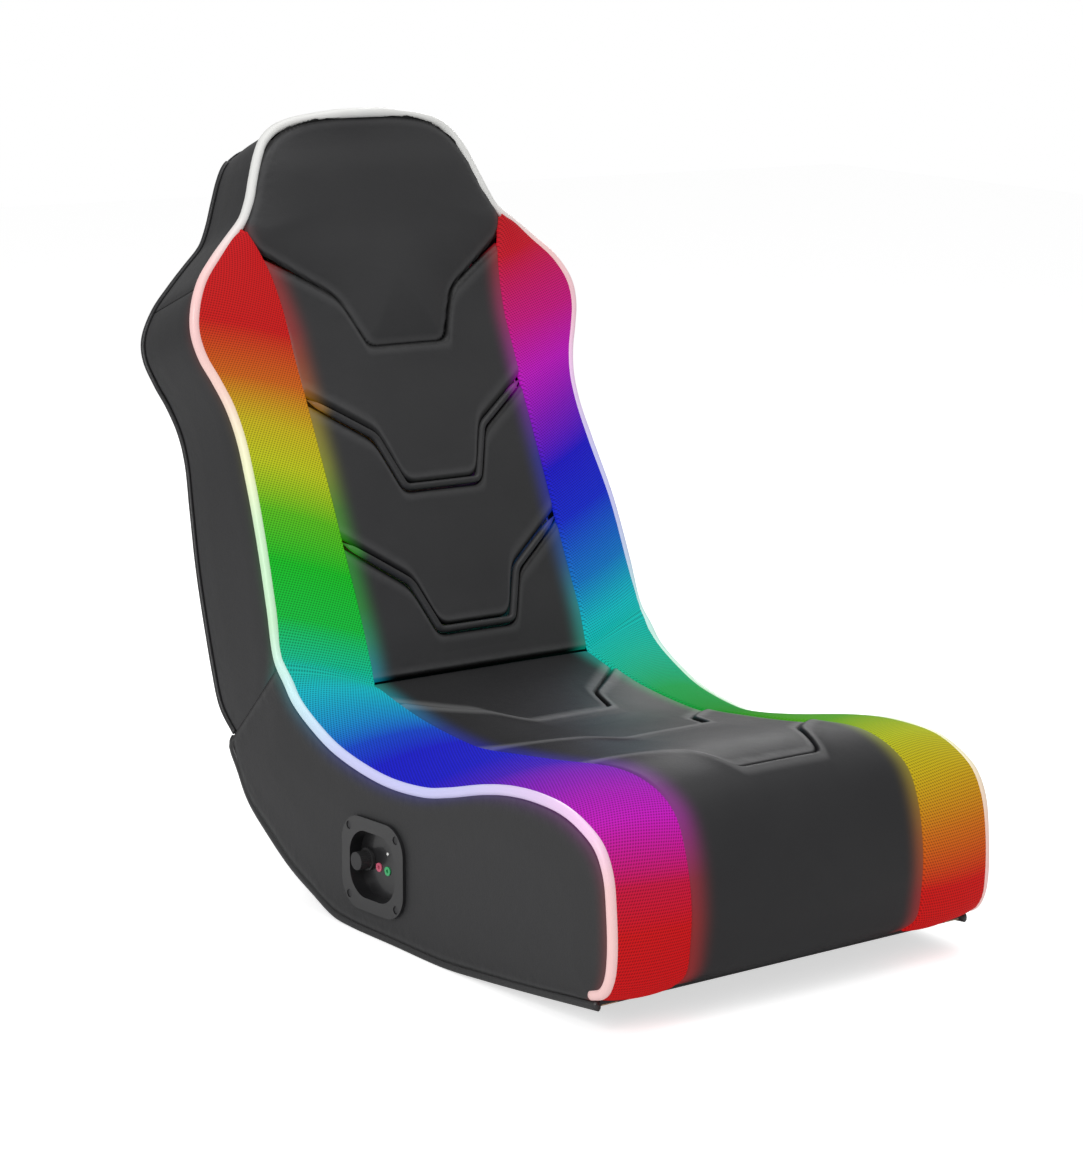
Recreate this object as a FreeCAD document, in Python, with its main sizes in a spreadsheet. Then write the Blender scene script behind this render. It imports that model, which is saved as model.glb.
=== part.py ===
# Floor rocker chair with a folding backrest, lit side panels and built-in sound.
# Millimetres. +Z is up, the sitter faces -Y, and the sitter's right hand is at -X.
# The origin is on the floor, under the middle of the chair.
import FreeCAD
import Part
import math
import os

os.makedirs("parts", exist_ok=True)
doc = FreeCAD.newDocument("rocker_chair")
V = FreeCAD.Vector

# Driving dimensions
sheet = doc.addObject("Spreadsheet::Sheet", "sizes")
driving = {
    "piping_half_span": 230, "piping_radius": 5, "skin_gap": 0.6, "leather": 2.5,
    "mesh_thickness": 4, "center_half_width": 138, "side_face": 229,
    "pivot_y": 127, "pivot_z": 246, "lean": 21.5, "rest_pitch": 2,
    "board": 18, "runner_outer": 221.5, "deck_board": 18, "deck_top": 127,
    "hinge_plate": 3, "hinge_back_x": 196.4, "hinge_seat_x": 200,
    "pin_radius": 4, "bolt_y": 128, "bolt_low": 175, "bolt_high": 205,
    "tube_radius": 10, "tube_wall": 1.2, "back_board": 4, "tube_plane": 41,
    "bezel_width": 100, "bezel_height": 92, "bezel_corner": 28, "bezel_proud": 8,
    "dish_width": 74, "dish_height": 66, "dish_depth": 14,
    "panel_y": -37.5, "panel_z": 80, "screw_span_y": 76, "screw_span_z": 68,
    "knob_radius": 9, "knob_length": 15, "knob_y": -13, "knob_z": 81,
    "speaker_x": 184, "speaker_z": 352, "speaker_radius": 37,
    "band_width": 8, "band_height": 3, "welt_radius": 2.5, "shoulder_seam": 392,
}
for row, (alias, value) in enumerate(driving.items(), start=1):
    sheet.set("A%d" % row, alias)
    sheet.set("B%d" % row, str(value))
    sheet.setAlias("B%d" % row, alias)
doc.recompute()


def size(alias):
    return float(sheet.get(alias))


parts = []


def keep(item, label):
    item.Label = label
    parts.append(item)
    return item


def feature(label, shape, placement=None):
    item = doc.addObject("Part::Feature", label)
    item.Shape = shape
    if placement is not None:
        item.Placement = placement
    return keep(item, label)


# Outlines are lists of corners, (a, b, radius), joined by straight runs and tangent arcs.
def tangent_edges(corners, radii, closed=False):
    count = len(corners)
    starts, ends, middles = [], [], []
    for i, corner in enumerate(corners):
        if radii[i] == 0 or (not closed and i in (0, count - 1)):
            starts.append(corner)
            ends.append(corner)
            middles.append(None)
            continue
        back = (corners[i - 1] - corner).normalize()
        ahead = (corners[(i + 1) % count] - corner).normalize()
        half_turn = (math.pi - back.getAngle(ahead)) / 2
        reach = radii[i] * math.tan(half_turn)
        starts.append(corner + back * reach)
        ends.append(corner + ahead * reach)
        bisector = (back + ahead).normalize()
        middles.append(corner + bisector * (radii[i] / math.cos(half_turn) - radii[i]))
    edges = []
    for i in range(count):
        if middles[i] is not None:
            edges.append(Part.Arc(starts[i], middles[i], ends[i]).toShape())
        if closed or i < count - 1:
            following = starts[(i + 1) % count]
            run = following - ends[i]
            if run.dot(corners[(i + 1) % count] - corners[i]) < -1e-6:
                raise RuntimeError("arcs overlap after corner %d at %s" % (i, corners[i]))
            if run.Length > 1e-6:
                edges.append(Part.LineSegment(ends[i], following).toShape())
    return edges


def outline_edges(points, closed=False):
    corners = [V(p[0], p[1], 0) for p in points]
    radii = [p[2] if len(p) > 2 else 0 for p in points]
    return tangent_edges(corners, radii, closed)


def ring(*outlines):
    """Edges of a closed outline made of open ones that follow each other all the way round."""
    edges = []
    for i, outline in enumerate(outlines):
        edges += outline_edges(outline)
        last, following = outline[-1], outlines[(i + 1) % len(outlines)][0]
        if math.hypot(last[0] - following[0], last[1] - following[1]) > 1e-6:
            edges.append(Part.LineSegment(V(last[0], last[1], 0),
                                          V(following[0], following[1], 0)).toShape())
    return edges


def inset(points, distance):
    """An open outline moved sideways, to the left of the way it is walked."""
    count = len(points)
    ways = []
    for (a0, b0, *_), (a1, b1, *_) in zip(points, points[1:]):
        run = math.hypot(a1 - a0, b1 - b0)
        ways.append(((a1 - a0) / run, (b1 - b0) / run))
    moved = []
    for i, point in enumerate(points):
        before = ways[max(i - 1, 0)]
        after = ways[min(i, count - 2)]
        turn = before[0] * after[1] - before[1] * after[0]
        scale = distance / (1 + before[0] * after[0] + before[1] * after[1])
        a = point[0] - (before[1] + after[1]) * scale
        b = point[1] + (before[0] + after[0]) * scale
        radius = point[2] if len(point) > 2 else 0
        if radius:
            radius = max(radius - math.copysign(distance, turn), 0.5)
        moved.append((a, b, radius))
    return moved


def band(points, near, far):
    """The closed strip between an outline moved left by near and the same one moved by far."""
    return ring(inset(points, near), inset(points, far)[::-1])


def mirrored(points):
    return [(-p[0],) + tuple(p[1:]) for p in points[::-1]]


def box_outline(a0, b0, a1, b1, radius=0.0):
    return outline_edges([(a0, b0, radius), (a1, b0, radius), (a1, b1, radius), (a0, b1, radius)],
                         closed=True)


def round_outline(a, b, radius):
    return [Part.Circle(V(a, b, 0), V(0, 0, 1), radius).toShape()]


# Seen from the side an outline holds (y, z), and from the front it holds (x, z).
views = {"YZ": FreeCAD.Rotation(V(0, 1, 0), V(0, 0, 1), V(1, 0, 0), "XYZ"),
         "XZ": FreeCAD.Rotation(V(1, 0, 0), V(0, 0, 1), V(0, -1, 0), "XYZ")}
along = {"YZ": V(1, 0, 0), "XZ": V(0, 1, 0)}


def slab(view, edges, start, stop):
    """A solid with the given outline, from start to stop along X (side view) or Y (front view)."""
    face = Part.Face(Part.Wire(edges))
    face.Placement = FreeCAD.Placement(along[view] * start, views[view])
    return face.extrude(along[view] * (stop - start))


def sketch_of(edge):
    curve = edge.Curve
    if isinstance(curve, Part.Line):
        return Part.LineSegment(edge.Vertexes[0].Point, edge.Vertexes[-1].Point)
    if len(edge.Vertexes) > 1:
        first, last = edge.ParameterRange
        return Part.Arc(edge.valueAt(first), edge.valueAt((first + last) / 2), edge.valueAt(last))
    return curve


def sketch_in(body, view, edges, start):
    drawing = body.newObject("Sketcher::SketchObject", "outline")
    support = [f for f in body.Origin.OriginFeatures if f.Role == view + "_Plane"][0]
    drawing.AttachmentSupport = [(support, "")]
    drawing.MapMode = "FlatFace"
    toward = start if view == "YZ" else -start
    drawing.AttachmentOffset = FreeCAD.Placement(V(0, 0, toward), FreeCAD.Rotation())
    for edge in edges:
        drawing.addGeometry(sketch_of(edge), False)
    return drawing


def pad_body(label, view, edges, start, length, placement=None):
    """A body with one outline, padded along +X or +Y from start. length is an alias or a number."""
    body = doc.addObject("PartDesign::Body", label)
    pad = body.newObject("PartDesign::Pad", "pad")
    pad.Profile = sketch_in(body, view, edges, start)
    if isinstance(length, str):
        pad.setExpression("Length", "sizes." + length)
    else:
        pad.Length = length
    pad.Reversed = view == "XZ"
    body.Tip = pad
    doc.recompute()
    if placement is not None:
        body.Placement = placement
    return keep(body, label)


def cut_body(body, view, edges, start, depth):
    """Cuts an outline out of a body, along +X or +Y from start."""
    before = body.Shape.Volume
    pocket = body.newObject("PartDesign::Pocket", "pocket")
    pocket.Profile = sketch_in(body, view, edges, start)
    pocket.Length = depth
    pocket.Reversed = view == "YZ"
    body.Tip = pocket
    doc.recompute()
    if body.Shape.Volume > before - 1e-3:
        raise RuntimeError("nothing was cut from " + body.Label)
    return body


def tube_along(corners, radii, radius):
    """A round cord or tube that follows straight runs joined by tangent arcs."""
    way = (corners[1] - corners[0]).normalize()
    circle = Part.Wire(Part.Circle(corners[0], way, radius).toShape())
    return Part.Wire(tangent_edges(corners, radii)).makePipeShell([circle], True, False)


for_both_sides = (("left", 1), ("right", -1))
leather = size("leather")
gap = size("skin_gap")
center_x = size("center_half_width")
pivot_y = size("pivot_y")
pivot_z = size("pivot_z")
plate = size("hinge_plate")
bolt_y = size("bolt_y")
bolt_heights = (size("bolt_low"), size("bolt_high"))

# Seat profiles seen from the side, walked from the fold over the front nose: (y, z, corner radius).
# The crown is the middle of the cushion, the edge is where the light piping runs.
crown = [(100, 222), (24, 205, 160), (-140, 197, 500), (-300, 214, 220),
         (-391, 205, 46), (-396, 60, 120), (-388, 27, 8), (-366, 25)]
edge = [(127, 250), (88, 205, 110), (-60, 160, 230), (-245, 204, 300),
        (-386, 181, 38), (-391, 60, 100), (-386, 33, 10), (-366, 31)]
# The bottom is the rocker: a flat tread between two gentle rises. The tread is level once the
# whole chair is pitched back to the way it rests.
bottom = [(224, 150), (188, 96, 120), (118, 46, 150), (38, 8.4, 25), (-150, 1.8, 500), (-366, 19)]
# Seat and backrest part along a plane that falls from the fold to the rear corner.
split_way = (0.699, -0.715)


def on_split(reach, below):
    """A point on the parting plane, so far from the fold and so far under the plane."""
    return (pivot_y + split_way[0] * reach + split_way[1] * below,
            pivot_z + split_way[1] * reach - split_way[0] * below)


# Wooden base: two rocker runners, a front board, two rails and the deck between them
board = size("board")
runner_outer = size("runner_outer")
runner_inner = runner_outer - board
between_runners = runner_inner - 0.3
deck_top = size("deck_top")
deck_bottom = deck_top - size("deck_board")
front_face = -364
runner_outline = ring(inset(bottom, -2.4),
                      [(-354, deck_top), (84, deck_top, 20), (116, 190), (120.6, 253, 6.3),
                       (134, 253, 6.3), (137, 228, 6), (191, 168)])
pin_bore = size("pin_radius") + 0.02
for side, sign in for_both_sides:
    start = runner_inner if sign > 0 else -runner_outer
    runner = pad_body("rocker_runner_" + side, "YZ", runner_outline, start, "board")
    cut_body(runner, "YZ", round_outline(pivot_y, pivot_z, pin_bore), start, board)
    for bolt_z in bolt_heights:
        cut_body(runner, "YZ", round_outline(bolt_y, bolt_z, 3.1), start, board)
    if side == "right":
        window = box_outline(size("panel_y") - 42, size("panel_z") - 36,
                             size("panel_y") + 42, size("panel_z") + 36, 8)
        cut_body(runner, "YZ", window, start, board)
rails = {"front_board": (front_face, 24, front_face + board, deck_top),
         "middle_rail": (-158, 6, -158 + board, deck_bottom - 0.2),
         "rear_rail": (148, 90, 148 + board, deck_top)}
for label, (y0, z0, y1, z1) in rails.items():
    pad_body(label, "YZ", box_outline(y0, z0, y1, z1), -between_runners, 2 * between_runners)
pad_body("seat_deck", "YZ", box_outline(front_face + board + 0.2, deck_bottom, 68, deck_top),
         -between_runners, 2 * between_runners)

# Seat cushion: a crowned middle and lower flanks that leave a channel for the light strips
under_cover = leather + gap
foam_floor = deck_top + 0.4
front_gap = front_face - 0.6
foam_crown = ring([on_split(2, 3.5), (118, 230)] + inset(crown, under_cover)[:-1]
                  + [(front_gap, 29), (front_gap, foam_floor), (190, foam_floor), on_split(116, 3.5)])
foam_edge = ring(inset(edge, 17)[1:4],
                 [(-340, 182), (front_gap, 160), (front_gap, foam_floor), (60, foam_floor),
                  (60, 175)])
foam = slab("YZ", foam_crown, -center_x + gap, center_x - gap)
for sign in (1, -1):
    flank = slab("YZ", foam_edge, sign * (center_x - 2), sign * 224)
    foam = foam.fuse(flank)
feature("seat_foam", foam.removeSplitter())

# Seat cover: four panels that lap like steps, parted along V-shaped seams: half of each, (x, y)
seams = [[(center_x, 57), (71, 4, 6), (50, -46, 6)],
         [(center_x, -82), (70, -146, 6), (53, -193, 6)],
         [(center_x, -235), (72, -295, 6), (50, -347, 6)]]


def v_line(half_line):
    """A V-shaped seam from -X to +X, from its +X half."""
    return [(-p[0],) + tuple(p[1:]) for p in half_line] + half_line[::-1]


def shifted(line, down):
    return [(p[0], p[1] - down) + tuple(p[2:]) for p in line]


def plan_slab(edges, low, high):
    face = Part.Face(Part.Wire(edges))
    face.translate(V(0, 0, low))
    return face.extrude(V(0, 0, high - low))


cover = slab("YZ", band(crown, 0, leather), -center_x + gap, center_x - gap)
far_rear = [(-center_x - 9, 140), (center_x + 9, 140)]
far_front = [(-center_x - 9, -420), (center_x + 9, -420)]
lines = [far_rear] + [v_line(seam) for seam in seams] + [far_front]
for label, upper, lower in zip(("rear", "upper", "middle", "front"), lines, lines[1:]):
    cut = ring(shifted(upper, 0.3), shifted(lower, -0.3)[::-1])
    feature("seat_panel_" + label, cover.common(plan_slab(cut, -20, 320)))

# Light mesh beside the middle panels, from the crown line down to the piping
mesh_thickness = size("mesh_thickness")
piping_radius = size("piping_radius")
piping_x = size("piping_half_span")
mesh_inner = center_x + 0.6
mesh_outer = piping_x - piping_radius - 0.6


def side_ring(points, near, far, x):
    wire = Part.Wire(band(points, near, far))
    wire.Placement = FreeCAD.Placement(V(x, 0, 0), views["YZ"])
    return wire


edge_at_mesh = [(117, 239)] + edge[1:]
for side, sign in for_both_sides:
    strip = Part.makeLoft([side_ring(crown, 0, mesh_thickness, sign * mesh_inner),
                           side_ring(edge_at_mesh, 0, mesh_thickness, sign * mesh_outer)], True, True)
    feature("seat_mesh_" + side, strip)
lights = band(inset(crown, 8)[:-2], 0, 10)
strips = [slab("YZ", lights, sign * (center_x + 0.6), sign * (center_x + 2.6)) for sign in (1, -1)]
feature("seat_light_strips", Part.makeCompound(strips))

# Light piping along the seat's edge, and the side covers under it
for side, sign in for_both_sides:
    corners = [V(sign * piping_x, p[0], p[1]) for p in [(117, 238.5)] + edge[1:]]
    radii = [0] + [p[2] for p in edge[1:-1]] + [0]
    feature("seat_piping_" + side, tube_along(corners, radii, piping_radius))
side_face = size("side_face")
binding_height = 7
side_outline = ring([on_split(3, 1)] + inset(edge, piping_radius + gap)[1:],
                    [(-362, 28)], inset(bottom, -binding_height - 0.5)[::-1], [on_split(118, 1)])
for side, sign in for_both_sides:
    start = side_face - leather if sign > 0 else -side_face
    cover = pad_body("seat_side_" + side, "YZ", side_outline, start, "leather")
    if side == "right":
        opening = box_outline(size("panel_y") - 40, size("panel_z") - 36,
                              size("panel_y") + 40, size("panel_z") + 36, 28)
        cut_body(cover, "YZ", opening, start, leather)

# Closing cloth under and behind the seat, and the binding round the bottom edge
pad_body("bottom_cover", "YZ", band(bottom, 0, -2), -222, 444)
pad_body("seat_rear_cover", "YZ",
         ring([on_split(30, 0.6), on_split(118, 0.6), on_split(118, 3), on_split(30, 3)]), -222, 444)
binding = None
for sign in (1, -1):
    strip = slab("YZ", band(bottom, 0, -binding_height), sign * 222.6, sign * 231)
    binding = strip if binding is None else Part.makeCompound([binding, strip])
feature("bottom_binding", binding)

# The backrest is drawn upright about the fold, x across, y to the rear and z up, then leaned back.
leaned = FreeCAD.Placement(V(0, pivot_y, pivot_z), FreeCAD.Rotation(V(1, 0, 0), -size("lean")))
# Half outline of the cushion seen square on: waist, shoulder, neck, head corner, top: (x, z, radius)
half = [(229, 0), (211, 245, 250), (244.5, 369, 45), (157, 455, 90), (120, 538, 40), (75, 556, 60)]
# Side profiles: (y, z, radius). The cover stands a little in front of the piping.
cover_line = [(-14, -20), (-9, 130, 900), (-9, 385, 300), (-20, 480, 120), (-14, 560)]
piping_line = [(0, 0), (4, 245), (0, 369), (-7, 455), (-12, 538), (-14, 556)]
rear_line = [(120, -58), (127, -10), (127, 110), (109, 310), (109, 369), (86, 455), (71, 538), (69, 580)]


def flare_at(z):
    """Half width of the outline below the waist."""
    return half[0][0] - z * (half[0][0] - half[1][0]) / half[1][1]


def around(distance):
    """The whole outline moved inwards, walked from the left fold over the head to the right fold."""
    foot = (flare_at(-30), -30)
    return inset([foot] + half[1:] + mirrored(half[1:]) + [(-foot[0], foot[1])], distance)


def front_plan(distance):
    return slab("XZ", ring(around(distance)), -60, 160)


def across(edges, half_width=260):
    return slab("YZ", edges, -half_width, half_width)


# Everything on the backrest stays above the parting plane and outside the fold's groove.
lean = math.radians(size("lean"))
split_slope = math.radians(45.65) - lean


def above_split(reach, above):
    """A point on the parting plane in the backrest's own frame."""
    return (math.cos(split_slope) * reach + math.sin(split_slope) * above,
            -math.sin(split_slope) * reach + math.cos(split_slope) * above)


groove = [(-60, 33), above_split(0, 1.0), above_split(170, 1.0), (180, 620), (-60, 620)]
room = across(ring(groove))

# Frame: a bent steel tube carried by the hinge plates, a plywood board behind it
tube_y = size("tube_plane")
tube_half = [(186, 17), (186, 190, 45), (122, 270, 45), (122, 430, 45), (78, 512, 40)]
tube_line = tube_half + mirrored(tube_half)
tube_corners = [V(p[0], tube_y, p[1]) for p in tube_line]
tube_bends = [p[2] if len(p) > 2 else 0 for p in tube_line]
tube_radius = size("tube_radius")
tube = tube_along(tube_corners, tube_bends, tube_radius)
tube = tube.cut(tube_along(tube_corners, tube_bends, tube_radius - size("tube_wall")))
feature("back_frame_tube", tube, leaned)
board_front = tube_y + tube_radius + 0.4
board_half = [(196, 20, 8), (196, 190, 30), (134, 270, 30), (134, 425, 10)]
pad_body("back_board", "XZ", outline_edges([(p[0], p[1], p[2]) for p in board_half + mirrored(board_half)],
                                           closed=True), board_front, "back_board", leaned)

# Hinge: two steel plates a side turn on a pin
back_plate_outline = outline_edges([(-10, -10, 9.8), (14, -10, 10), (58, 36, 10), (58, 120, 6),
                                    (34, 120, 6), (22, 48, 20), (6, 11, 8), (-10, 11, 9.8)], closed=True)
seat_plate_outline = outline_edges([(119.5, 253, 6.8), (134, 253, 6.8), (142, 150, 8), (114, 150, 8)],
                                   closed=True)
for side, sign in for_both_sides:
    x0 = size("hinge_back_x") if sign > 0 else -size("hinge_back_x") - plate
    arm = pad_body("hinge_back_plate_" + side, "YZ", back_plate_outline, x0, "hinge_plate")
    cut_body(arm, "YZ", round_outline(0, 0, size("pin_radius") + 0.06), x0, plate)
    arm.Placement = leaned
    x0 = size("hinge_seat_x") if sign > 0 else -size("hinge_seat_x") - plate
    arm = pad_body("hinge_seat_plate_" + side, "YZ", seat_plate_outline, x0, "hinge_plate")
    cut_body(arm, "YZ", round_outline(pivot_y, pivot_z, pin_bore), x0, plate)
    for bolt_z in bolt_heights:
        cut_body(arm, "YZ", round_outline(bolt_y, bolt_z, 3.1), x0, plate)


def peg(y, z, radius, x_from, x_to):
    return slab("YZ", round_outline(y, z, radius), x_from, x_to)


def on_both_sides(make):
    return Part.makeCompound([make(1), make(-1)])


def pin(sign):
    shank = peg(pivot_y, pivot_z, size("pin_radius"), sign * 194, sign * 220.5)
    return shank.fuse(peg(pivot_y, pivot_z, 7, sign * 192, sign * 195.8)).removeSplitter()


def bolt(sign, z):
    shank = peg(bolt_y, z, 3, sign * 199, sign * 225)
    head = peg(bolt_y, z, 5.5, sign * 196.4, sign * 199.8)
    corners = [(bolt_y + 5.8 * math.cos(math.radians(a)), z + 5.8 * math.sin(math.radians(a)))
               for a in range(0, 360, 60)]
    nut = slab("YZ", outline_edges(corners, closed=True), sign * 221.7, sign * 224.5)
    return shank.fuse(head).fuse(nut).removeSplitter()


feature("hinge_pins", on_both_sides(pin))
feature("hinge_bolts", Part.makeCompound([bolt(sign, z) for sign in (1, -1) for z in bolt_heights]))

# Cushions: foam in front of the frame, a thinner filler behind it
center_half = [(center_x, -40), (center_x, 400, 40), (154, 423), (175, 468), (175, 600)]
center_plan = slab("XZ", ring(center_half + mirrored(center_half)), -60, 160)
foam_front = across(ring(inset(cover_line, -under_cover), [(20, 560), (20, -20)]))
flank_front = across(ring([(14, -30), (14, 560), (20, 560), (20, -30)]))
speaker_x, speaker_z = size("speaker_x"), size("speaker_z")
speaker_radius = size("speaker_radius")
foam = foam_front.common(center_plan).fuse(flank_front).common(front_plan(6)).common(room)
for sign in (1, -1):
    foam = foam.cut(slab("XZ", round_outline(sign * speaker_x, speaker_z, speaker_radius + 1.5), -60, 60))
    foam = foam.cut(slab("YZ", round_outline(0, 0, 18), sign * 190, sign * 226))
    foam = foam.cut(slab("YZ", box_outline(-10, -30, 60, 126), sign * 195.6, sign * 200.4))
feature("back_foam", foam.removeSplitter(), leaned)
rear_pad = across(band(rear_line, under_cover, 9))
feature("back_rear_foam", rear_pad.common(front_plan(7)).common(room), leaned)

# Front cover: a head panel over three panels, parted along V-shaped seams: half of each, (x, z)
head_seam = [(154, 423), (74, 365, 6), (52, 308, 6)]
band_seams = {"upper": [(center_x + 1, 270), (64, 220, 6), (43, 165, 6)],
              "lower": [(center_x + 1, 120), (63, 68, 6), (43, 20, 6)]}


def front_slab(*outlines):
    return slab("XZ", ring(*outlines), -60, 160)


cover = across(ring(cover_line, inset(cover_line, -leather)[::-1])).common(front_plan(piping_radius + 1))
cover = cover.common(room).common(center_plan)
above_all = [(-260, 600), (260, 600)]
strip = size("band_width")
head_line = v_line([(260, 500)] + head_seam)
upper_line, lower_line = v_line(band_seams["upper"]), v_line(band_seams["lower"])
feature("head_panel", cover.common(front_slab(head_line, above_all[::-1])), leaned)
panels = {"back_panel_upper": (shifted(head_line, 0.8), shifted(upper_line, -0.5)),
          "back_panel_middle": (shifted(upper_line, strip + 0.5), shifted(lower_line, -0.5)),
          "back_panel_lower": (shifted(lower_line, strip + 0.5), [(-150, -40), (150, -40)])}
for label, (top, foot) in panels.items():
    feature(label, cover.common(front_slab(top, foot[::-1])), leaned)
raised = across(ring(inset(cover_line, size("band_height")), inset(cover_line, -leather)[::-1])).common(room)
raised = raised.common(slab("XZ", box_outline(-center_x, -40, center_x, 600), -60, 160))
for name, line in (("upper", upper_line), ("lower", lower_line)):
    feature("back_band_" + name, raised.common(front_slab(line, shifted(line, strip)[::-1])), leaned)

# Light mesh, sloping from the cover's edge back to the piping
for side, sign in for_both_sides:
    slope = [(sign * mesh_inner, -9), (sign * 245, 0.5), (sign * 245, 0.5 + mesh_thickness),
             (sign * mesh_inner, -9 + mesh_thickness)]
    wedge = Part.Face(Part.Wire([e for e in outline_edges(slope, closed=True)])).extrude(V(0, 0, 600))
    plan = [(mesh_inner, 0), (mesh_inner, 400, 40), (155, 423), (163, 441), (260, 441), (260, 0)]
    plan_edges = outline_edges([(sign * p[0],) + tuple(p[1:]) for p in plan], closed=True)
    mesh = wedge.common(slab("XZ", plan_edges, -60, 60)).common(front_plan(piping_radius + 1)).common(room)
    mesh = mesh.cut(slab("YZ", round_outline(0, 0, 15), -260, 260))
    feature("back_mesh_" + side, mesh, leaned)
    lights = [(sign * (center_x + 0.6), 30), (sign * (center_x + 2.6), 30),
              (sign * (center_x + 2.6), 375), (sign * (center_x + 0.6), 375)]
    pad_body("back_light_strip_" + side, "XZ", outline_edges(lights, closed=True), 3, 10, leaned)


def line_at(line, z):
    """How far to the rear a side profile is at a height."""
    for (y0, z0, *_), (y1, z1, *_) in zip(line, line[1:]):
        if z0 <= z <= z1:
            return y0 + (y1 - y0) * (z - z0) / (z1 - z0)
    return line[-1][0]


def cord_round(distance, line, heights):
    foot = [(flare_at(z), z, 150) for z in heights]
    plan = [p if len(p) > 2 else p + (0,) for p in inset(foot + half[1:], distance)]
    right = [(p[0], line_at(line, p[1]), p[1], p[2]) for p in plan]
    whole_way = right + [(-x, y, z, r) for x, y, z, r in right[::-1]]
    return [V(*p[:3]) for p in whole_way], [p[3] for p in whole_way]


corners, radii = cord_round(0, piping_line, [14])
feature("back_piping", tube_along(corners, radii, piping_radius), leaned)
corners, radii = cord_round(3.2, [(y - 2.2, z) for y, z in rear_line], [-38, -10, 110])
feature("back_welt", tube_along(corners, radii, size("welt_radius")), leaned)

# Boxing round the cushion's side, parted at the shoulder seam, and the rear cover
rim = front_plan(1).cut(front_plan(1 + leather))
depth = [(y + piping_radius + 1.2, z) for y, z in [(0, -60)] + piping_line + [(-14, 620)]]
rear_edge = [(y - 6, z) for y, z in rear_line]
rim = rim.common(across(ring(depth, rear_edge[::-1]))).common(room)
rim = rim.cut(slab("YZ", round_outline(0, 0, 9), -260, 260))
seam_z = size("shoulder_seam")
for side, sign in for_both_sides:
    x0, x1 = sorted((0, sign * 260))
    lower = slab("XZ", box_outline(x0, -80, x1, seam_z - 0.4), -60, 160)
    feature("back_side_" + side, rim.common(lower), leaned)
head_boxing = rim.common(slab("XZ", box_outline(-260, seam_z + 0.4, 260, 600), -60, 160))
feature("head_boxing", head_boxing, leaned)
rear = across(ring(rear_line, inset(rear_line, leather)[::-1])).common(front_plan(6.4)).common(room)
feature("back_rear_cover", rear, leaned)
foot_cover = slab("YZ", ring([above_split(34, 1.0), above_split(114, 1.0), above_split(114, 3.5),
                              above_split(34, 3.5)]), -222, 222)
feature("back_foot_cover", foot_cover, leaned)


# Speakers in the shoulders, behind the mesh: a basket with its magnet, and a cone
def spun(profile, x, z):
    points = [V(x + r, y, z) for y, r in profile]
    wire = Part.makePolygon(points + points[:1])
    return Part.Face(wire).revolve(V(x, 0, z), V(0, 1, 0), 360)


basket = [(8, speaker_radius), (11, speaker_radius), (11, 31), (32, 20), (32, 24), (46, 24),
          (46, 0), (30, 0), (30, 18), (9, 30), (8, 30)]
cone = [(9.5, 28), (11, 28), (26, 9), (29, 9), (29, 0), (22, 0), (20, 6)]
for side, sign in for_both_sides:
    feature("speaker_" + side, spun(basket, sign * speaker_x, speaker_z), leaned)
feature("speaker_cones", on_both_sides(lambda sign: spun(cone, sign * speaker_x, speaker_z)), leaned)

# Control panel in the right side: a moulded bezel with a deep dish, a knob and two sockets
panel_y, panel_z = size("panel_y"), size("panel_z")
outer_x = -side_face - 0.2
proud = size("bezel_proud")
dish_half_y, dish_half_z = size("dish_width") / 2, size("dish_height") / 2
dish_corner = 26


def panel_box(half_y, half_z, radius):
    return box_outline(panel_y - half_y, panel_z - half_z, panel_y + half_y, panel_z + half_z, radius)


bezel = pad_body("control_bezel", "YZ",
                 panel_box(size("bezel_width") / 2, size("bezel_height") / 2, size("bezel_corner")),
                 outer_x - proud, "bezel_proud")
dish_floor_x = outer_x - proud + size("dish_depth")
cup = bezel.newObject("PartDesign::Pad", "cup")
cup.Profile = sketch_in(bezel, "YZ", panel_box(dish_half_y + 2, dish_half_z + 2, dish_corner + 2), outer_x)
cup.Length = dish_floor_x + 2 - outer_x
bezel.Tip = cup
doc.recompute()
cut_body(bezel, "YZ", panel_box(dish_half_y, dish_half_z, dish_corner), outer_x - proud, size("dish_depth"))
floor_cut = dish_floor_x - 1
knob_y, knob_z = size("knob_y"), size("knob_z")
sockets = [(-30, 76), (-44, 75)]
lamp = (-44, 92)
for y, z, radius in [(knob_y, knob_z, 4)] + [(y, z, 4.6) for y, z in sockets] + [lamp + (1.6,)]:
    cut_body(bezel, "YZ", round_outline(y, z, radius), floor_cut, 5)
screw_places = [(panel_y + a * size("screw_span_y") / 2, panel_z + b * size("screw_span_z") / 2)
                for a in (1, -1) for b in (1, -1)]
right_cover = [item for item in parts if item.Label == "seat_side_right"][0]
for y, z in screw_places:
    cut_body(right_cover, "YZ", round_outline(y, z, 2.2), -side_face, leather)
    cut_body(bezel, "YZ", round_outline(y, z, 1.9), outer_x - proud, proud)
    cut_body(bezel, "YZ", round_outline(y, z, 4), outer_x - proud, 3)
screws = []
for y, z in screw_places:
    shank = peg(y, z, 1.8, outer_x - proud + 2.8, -runner_outer - 0.2)
    screws.append(shank.fuse(peg(y, z, 3.7, outer_x - proud + 1, outer_x - proud + 3)).removeSplitter())
feature("bezel_screws", Part.makeCompound(screws))

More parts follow.
